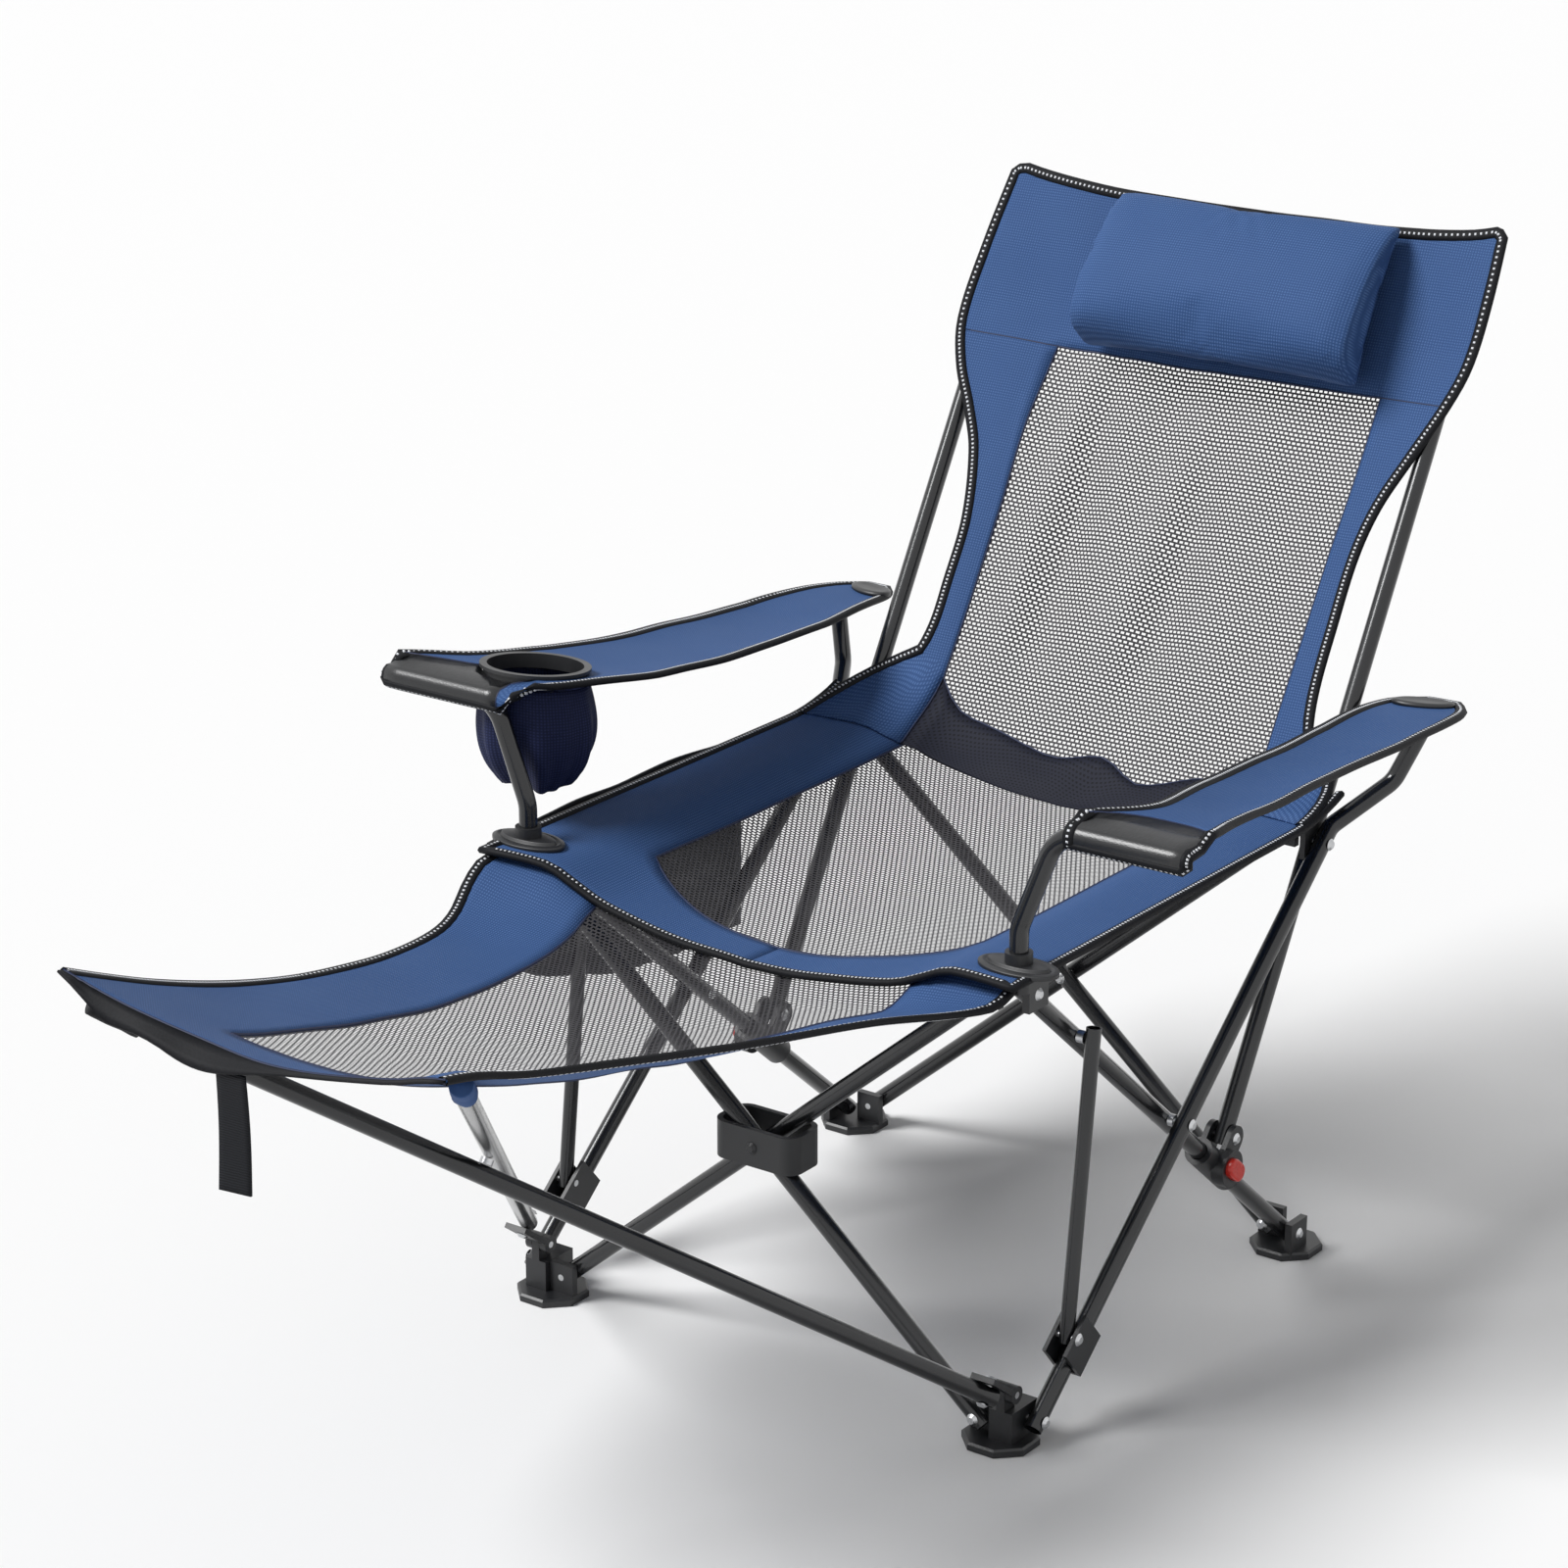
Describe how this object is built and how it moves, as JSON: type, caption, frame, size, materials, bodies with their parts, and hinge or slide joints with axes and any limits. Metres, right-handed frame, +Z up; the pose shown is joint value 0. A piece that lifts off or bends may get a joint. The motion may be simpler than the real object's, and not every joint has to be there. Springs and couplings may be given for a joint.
{
  "type": "folding camp chair",
  "caption": "Folding reclining camp chair: scissor tube frame, mesh and fabric slings, armrests with a cup holder, push-button recline, footrest and head pillow.",
  "frame": {"origin": "on the floor, at the middle of the part's box", "axes": "+Z up, +Y to the back of the chair, +X to the side away from the cup holder"},
  "size_m": [0.8358, 1.4116, 0.9036],
  "materials": {
    "tube": "dark grey powder coat, semi-gloss",
    "plastic": "moulded black plastic",
    "button": "moulded red plastic",
    "rivet": "zinc-plated rivet",
    "oxford": "blue coated oxford weave",
    "mesh_sling": "open mesh panel in a blue oxford border",
    "webbing": "black polypropylene webbing"
  },
  "bodies": {
    "front_foot_left": {"front_foot_left": "plastic", "front_foot_rivets_left": "rivet"},
    "front_brace_left": {"front_brace_left": "tube"},
    "front_brace_right": {"front_brace_right": "tube"},
    "front_collar": {"front_collar": "plastic"},
    "front_foot_right": {"front_foot_right": "plastic", "front_foot_rivets_right": "rivet"},
    "front_hub_right": {"front_hub_right": "plastic", "front_hub_rivets_right": "rivet", "arm_post_right": "tube", "armrest_right": "oxford"},
    "front_hub_left": {"front_hub_left": "plastic", "front_hub_rivets_left": "rivet", "arm_post_left": "tube", "armrest_left": "oxford", "cup_ring": "plastic", "cup_pouch": "oxford", "footrest_sling": "mesh_sling", "footrest_strap": "webbing"},
    "front_leg_left": {"front_leg_left": "tube"},
    "rear_leg_left": {"rear_leg_left": "tube", "leg_rivets_left": "rivet"},
    "rear_foot_left": {"rear_foot_left": "plastic", "rear_foot_rivets_left": "rivet"},
    "rear_hub_left": {"rear_hub_left": "plastic", "rear_hub_rivets_left": "rivet"},
    "recline_slider_left": {"recline_slider_left": "plastic"},
    "recline_button_left": {"recline_button_left": "button"},
    "recline_pin_left": {"recline_pin_left": "rivet"},
    "back_post_left": {"back_post_left": "tube", "back_sling": "mesh_sling"},
    "strut_channel_left": {"strut_channel_left": "plastic", "strut_pin_left": "rivet"},
    "strut_left": {"strut_left": "tube"},
    "footrest_elbow_left": {"footrest_elbow_left": "plastic"},
    "footrest_tube_left": {"footrest_tube_left": "tube", "footrest_rivets_left": "rivet"},
    "seat_left": {"seat_left": "mesh_sling"},
    "front_leg_right": {"front_leg_right": "tube"},
    "rear_leg_right": {"rear_leg_right": "tube", "leg_rivets_right": "rivet"},
    "rear_foot_right": {"rear_foot_right": "plastic", "rear_foot_rivets_right": "rivet"},
    "rear_hub_right": {"rear_hub_right": "plastic", "rear_hub_rivets_right": "rivet"},
    "recline_slider_right": {"recline_slider_right": "plastic"},
    "recline_button_right": {"recline_button_right": "button"},
    "recline_pin_right": {"recline_pin_right": "rivet"},
    "back_post_right": {"back_post_right": "tube"},
    "strut_channel_right": {"strut_channel_right": "plastic", "strut_pin_right": "rivet"},
    "strut_right": {"strut_right": "tube"},
    "footrest_elbow_right": {"footrest_elbow_right": "plastic"},
    "footrest_tube_right": {"footrest_tube_right": "tube", "footrest_rivets_right": "rivet"},
    "seat_right": {"seat_right": "mesh_sling"},
    "rear_brace_left": {"rear_brace_left": "tube", "rear_crossing_rivet": "rivet"},
    "rear_brace_right": {"rear_brace_right": "tube"},
    "headrest": {"headrest_pillow": "oxford"}
  },
  "joints": [
    {"name": "fold", "type": "hinge", "parent": "front_foot_left", "child": "front_brace_left", "pos_m": [-0.224, -0.06009, 0.022], "axis": [0, -1, 0], "range_deg": [0, 41], "deforming": ["seat_left", "seat_right", "back_sling", "footrest_sling", "footrest_strap", "armrest_left", "armrest_right", "headrest_pillow"]},
    {"name": "front_cross", "type": "hinge", "parent": "front_brace_left", "child": "front_brace_right", "pos_m": [0, -0.06909, 0.212], "axis": [0, -1, 0], "range_deg": [-82.5, 0.5]},
    {"name": "front_collar_turn", "type": "hinge", "parent": "front_brace_left", "child": "front_collar", "pos_m": [0, -0.06909, 0.212], "axis": [0, -1, 0], "range_deg": [-41.5, 0.5]},
    {"name": "front_foot_right_turn", "type": "hinge", "parent": "front_brace_right", "child": "front_foot_right", "pos_m": [0.224, -0.07809, 0.022], "axis": [0, -1, 0], "range_deg": [-0.5, 41.5]},
    {"name": "front_hub_right_turn", "type": "hinge", "parent": "front_brace_left", "child": "front_hub_right", "pos_m": [0.224, -0.06009, 0.402], "axis": [0, -1, 0], "range_deg": [-41.5, 0.5]},
    {"name": "front_hub_left_turn", "type": "hinge", "parent": "front_brace_right", "child": "front_hub_left", "pos_m": [-0.224, -0.07809, 0.402], "axis": [0, -1, 0], "range_deg": [-0.5, 41.5]},
    {"name": "front_leg_left_turn", "type": "hinge", "parent": "front_foot_left", "child": "front_leg_left", "pos_m": [-0.268, -0.05509, 0.022], "axis": [1, 0, 0], "range_deg": [-0.5, 41.5]},
    {"name": "side_cross_left", "type": "hinge", "parent": "front_leg_left", "child": "rear_leg_left", "pos_m": [-0.246, 0.16891, 0.212], "axis": [1, 0, 0], "range_deg": [-82.5, 0.5]},
    {"name": "rear_foot_left_turn", "type": "hinge", "parent": "rear_leg_left", "child": "rear_foot_left", "pos_m": [-0.246, 0.39291, 0.022], "axis": [1, 0, 0], "range_deg": [-0.5, 41.5]},
    {"name": "rear_hub_left_turn", "type": "hinge", "parent": "front_leg_left", "child": "rear_hub_left", "pos_m": [-0.268, 0.39291, 0.402], "axis": [1, 0, 0], "range_deg": [-41.5, 0.5]},
    {"name": "recline_left", "type": "slide", "parent": "rear_leg_left", "child": "recline_slider_left", "axis": [0, -0.7626, 0.6469], "range_m": [-0.058, 0]},
    {"name": "button_left", "type": "slide", "parent": "recline_slider_left", "child": "recline_button_left", "axis": [1, 0, 0], "range_m": [0, 0.0038], "stiffness_N_per_m": 700},
    {"name": "recline_pin_left_turn", "type": "hinge", "parent": "rear_leg_left", "child": "recline_pin_left", "pos_m": [-0.246, 0.48819, 0.37087], "axis": [1, 0, 0], "range_deg": [-0.5, 11.52]},
    {"name": "back_post_left_turn", "type": "hinge", "parent": "recline_pin_left", "child": "back_post_left", "pos_m": [-0.246, 0.27539, 0.15708], "axis": [1, 0, 0], "range_deg": [-0.5, 68.07]},
    {"name": "strut_channel_left_slide", "type": "slide", "parent": "front_leg_left", "child": "strut_channel_left", "axis": [0, 0.7626, 0.6469], "range_m": [-0.001, 0.15538]},
    {"name": "strut_left_turn", "type": "hinge", "parent": "strut_channel_left", "child": "strut_left", "pos_m": [-0.268, -0.01183, 0.0823], "axis": [1, 0, 0], "range_deg": [-34.45, 0.5]},
    {"name": "footrest_elbow_left_turn", "type": "hinge", "parent": "front_foot_left", "child": "footrest_elbow_left", "pos_m": [-0.248, -0.07309, 0.05], "axis": [-1, 0, 0], "range_deg": [-0.5, 13.2]},
    {"name": "footrest_tube_left_turn", "type": "hinge", "parent": "footrest_elbow_left", "child": "footrest_tube_left", "pos_m": [-0.248, -0.09705, 0.06805], "axis": [0, -0.6018, -0.7986], "range_deg": [-0.5, 22.72]},
    {"name": "seat_left_turn", "type": "hinge", "parent": "front_hub_left", "child": "seat_left", "pos_m": [-0.24, -0.06909, 0.423], "axis": [0, 1, 0], "range_deg": [-0.5, 65.5]},
    {"name": "front_leg_right_turn", "type": "hinge", "parent": "front_foot_right", "child": "front_leg_right", "pos_m": [0.268, -0.05509, 0.022], "axis": [1, 0, 0], "range_deg": [-0.5, 41.5]},
    {"name": "side_cross_right", "type": "hinge", "parent": "front_leg_right", "child": "rear_leg_right", "pos_m": [0.246, 0.16891, 0.212], "axis": [1, 0, 0], "range_deg": [-82.5, 0.5]},
    {"name": "rear_foot_right_turn", "type": "hinge", "parent": "rear_leg_right", "child": "rear_foot_right", "pos_m": [0.246, 0.39291, 0.022], "axis": [1, 0, 0], "range_deg": [-0.5, 41.5]},
    {"name": "rear_hub_right_turn", "type": "hinge", "parent": "front_leg_right", "child": "rear_hub_right", "pos_m": [0.268, 0.39291, 0.402], "axis": [1, 0, 0], "range_deg": [-41.5, 0.5]},
    {"name": "recline", "type": "slide", "parent": "rear_leg_right", "child": "recline_slider_right", "axis": [0, -0.7626, 0.6469], "range_m": [-0.058, 0]},
    {"name": "button_right", "type": "slide", "parent": "recline_slider_right", "child": "recline_button_right", "axis": [-1, 0, 0], "range_m": [0, 0.0038], "stiffness_N_per_m": 700},
    {"name": "recline_pin_right_turn", "type": "hinge", "parent": "rear_leg_right", "child": "recline_pin_right", "pos_m": [0.246, 0.48819, 0.37087], "axis": [1, 0, 0], "range_deg": [-0.5, 11.52]},
    {"name": "back_post_right_turn", "type": "hinge", "parent": "recline_pin_right", "child": "back_post_right", "pos_m": [0.246, 0.27539, 0.15708], "axis": [1, 0, 0], "range_deg": [-0.5, 68.07]},
    {"name": "strut_channel_right_slide", "type": "slide", "parent": "front_leg_right", "child": "strut_channel_right", "axis": [0, 0.7626, 0.6469], "range_m": [-0.001, 0.15538]},
    {"name": "strut_right_turn", "type": "hinge", "parent": "strut_channel_right", "child": "strut_right", "pos_m": [0.268, -0.01183, 0.0823], "axis": [1, 0, 0], "range_deg": [-34.45, 0.5]},
    {"name": "footrest_elbow_right_turn", "type": "hinge", "parent": "front_foot_right", "child": "footrest_elbow_right", "pos_m": [0.248, -0.07309, 0.05], "axis": [-1, 0, 0], "range_deg": [-0.5, 13.2]},
    {"name": "footrest_tube_right_turn", "type": "hinge", "parent": "footrest_elbow_right", "child": "footrest_tube_right", "pos_m": [0.248, -0.09705, 0.06805], "axis": [0, 0.6018, 0.7986], "range_deg": [-0.5, 22.72]},
    {"name": "seat_right_turn", "type": "hinge", "parent": "front_hub_right", "child": "seat_right", "pos_m": [0.24, -0.06909, 0.423], "axis": [0, -1, 0], "range_deg": [-0.5, 65.5]},
    {"name": "rear_brace_left_turn", "type": "hinge", "parent": "rear_foot_left", "child": "rear_brace_left", "pos_m": [-0.224, 0.41591, 0.022], "axis": [0, -1, 0], "range_deg": [-0.5, 41.5]},
    {"name": "rear_cross", "type": "hinge", "parent": "rear_brace_left", "child": "rear_brace_right", "pos_m": [0, 0.40691, 0.212], "axis": [0, -1, 0], "range_deg": [-82.5, 0.5]},
    {"name": "pillow_flip", "type": "hinge", "parent": "back_post_left", "child": "headrest", "pos_m": [0, 0.67794, 0.88603], "axis": [-1, 0, 0], "range_deg": [0, 120]}
  ],
  "couplings": [
    {"joint": "front_cross", "follows": "fold", "ratio": -2},
    {"joint": "front_collar_turn", "follows": "fold", "ratio": -1},
    {"joint": "front_foot_right_turn", "follows": "fold", "ratio": 1},
    {"joint": "front_hub_right_turn", "follows": "fold", "ratio": -1},
    {"joint": "front_hub_left_turn", "follows": "fold", "ratio": 1},
    {"joint": "front_leg_left_turn", "follows": "fold", "ratio": 1},
    {"joint": "side_cross_left", "follows": "fold", "ratio": -2},
    {"joint": "rear_foot_left_turn", "follows": "fold", "ratio": 1},
    {"joint": "rear_hub_left_turn", "follows": "fold", "ratio": -1},
    {"joint": "recline_left", "follows": "recline", "ratio": 1},
    {"joint": "recline_pin_left_turn", "follows": "recline", "rad_per_m": -3.3152},
    {"joint": "back_post_left_turn", "follows": "fold", "ratio": 1.6481},
    {"joint": "strut_channel_left_slide", "follows": "fold", "m_per_rad": 0.21574},
    {"joint": "strut_left_turn", "follows": "fold", "ratio": -0.82811},
    {"joint": "footrest_elbow_left_turn", "follows": "fold", "ratio": 0.30976},
    {"joint": "footrest_tube_left_turn", "follows": "fold", "ratio": 0.54206},
    {"joint": "seat_left_turn", "follows": "fold", "ratio": 1.5854},
    {"joint": "front_leg_right_turn", "follows": "fold", "ratio": 1},
    {"joint": "side_cross_right", "follows": "fold", "ratio": -2},
    {"joint": "rear_foot_right_turn", "follows": "fold", "ratio": 1},
    {"joint": "rear_hub_right_turn", "follows": "fold", "ratio": -1},
    {"joint": "recline_pin_right_turn", "follows": "recline", "rad_per_m": -3.3152},
    {"joint": "back_post_right_turn", "follows": "fold", "ratio": 1.6481},
    {"joint": "strut_channel_right_slide", "follows": "fold", "m_per_rad": 0.21574},
    {"joint": "strut_right_turn", "follows": "fold", "ratio": -0.82811},
    {"joint": "footrest_elbow_right_turn", "follows": "fold", "ratio": 0.30976},
    {"joint": "footrest_tube_right_turn", "follows": "fold", "ratio": 0.54206},
    {"joint": "seat_right_turn", "follows": "fold", "ratio": 1.5854},
    {"joint": "rear_brace_left_turn", "follows": "fold", "ratio": 1},
    {"joint": "rear_cross", "follows": "fold", "ratio": -2}
  ]
}
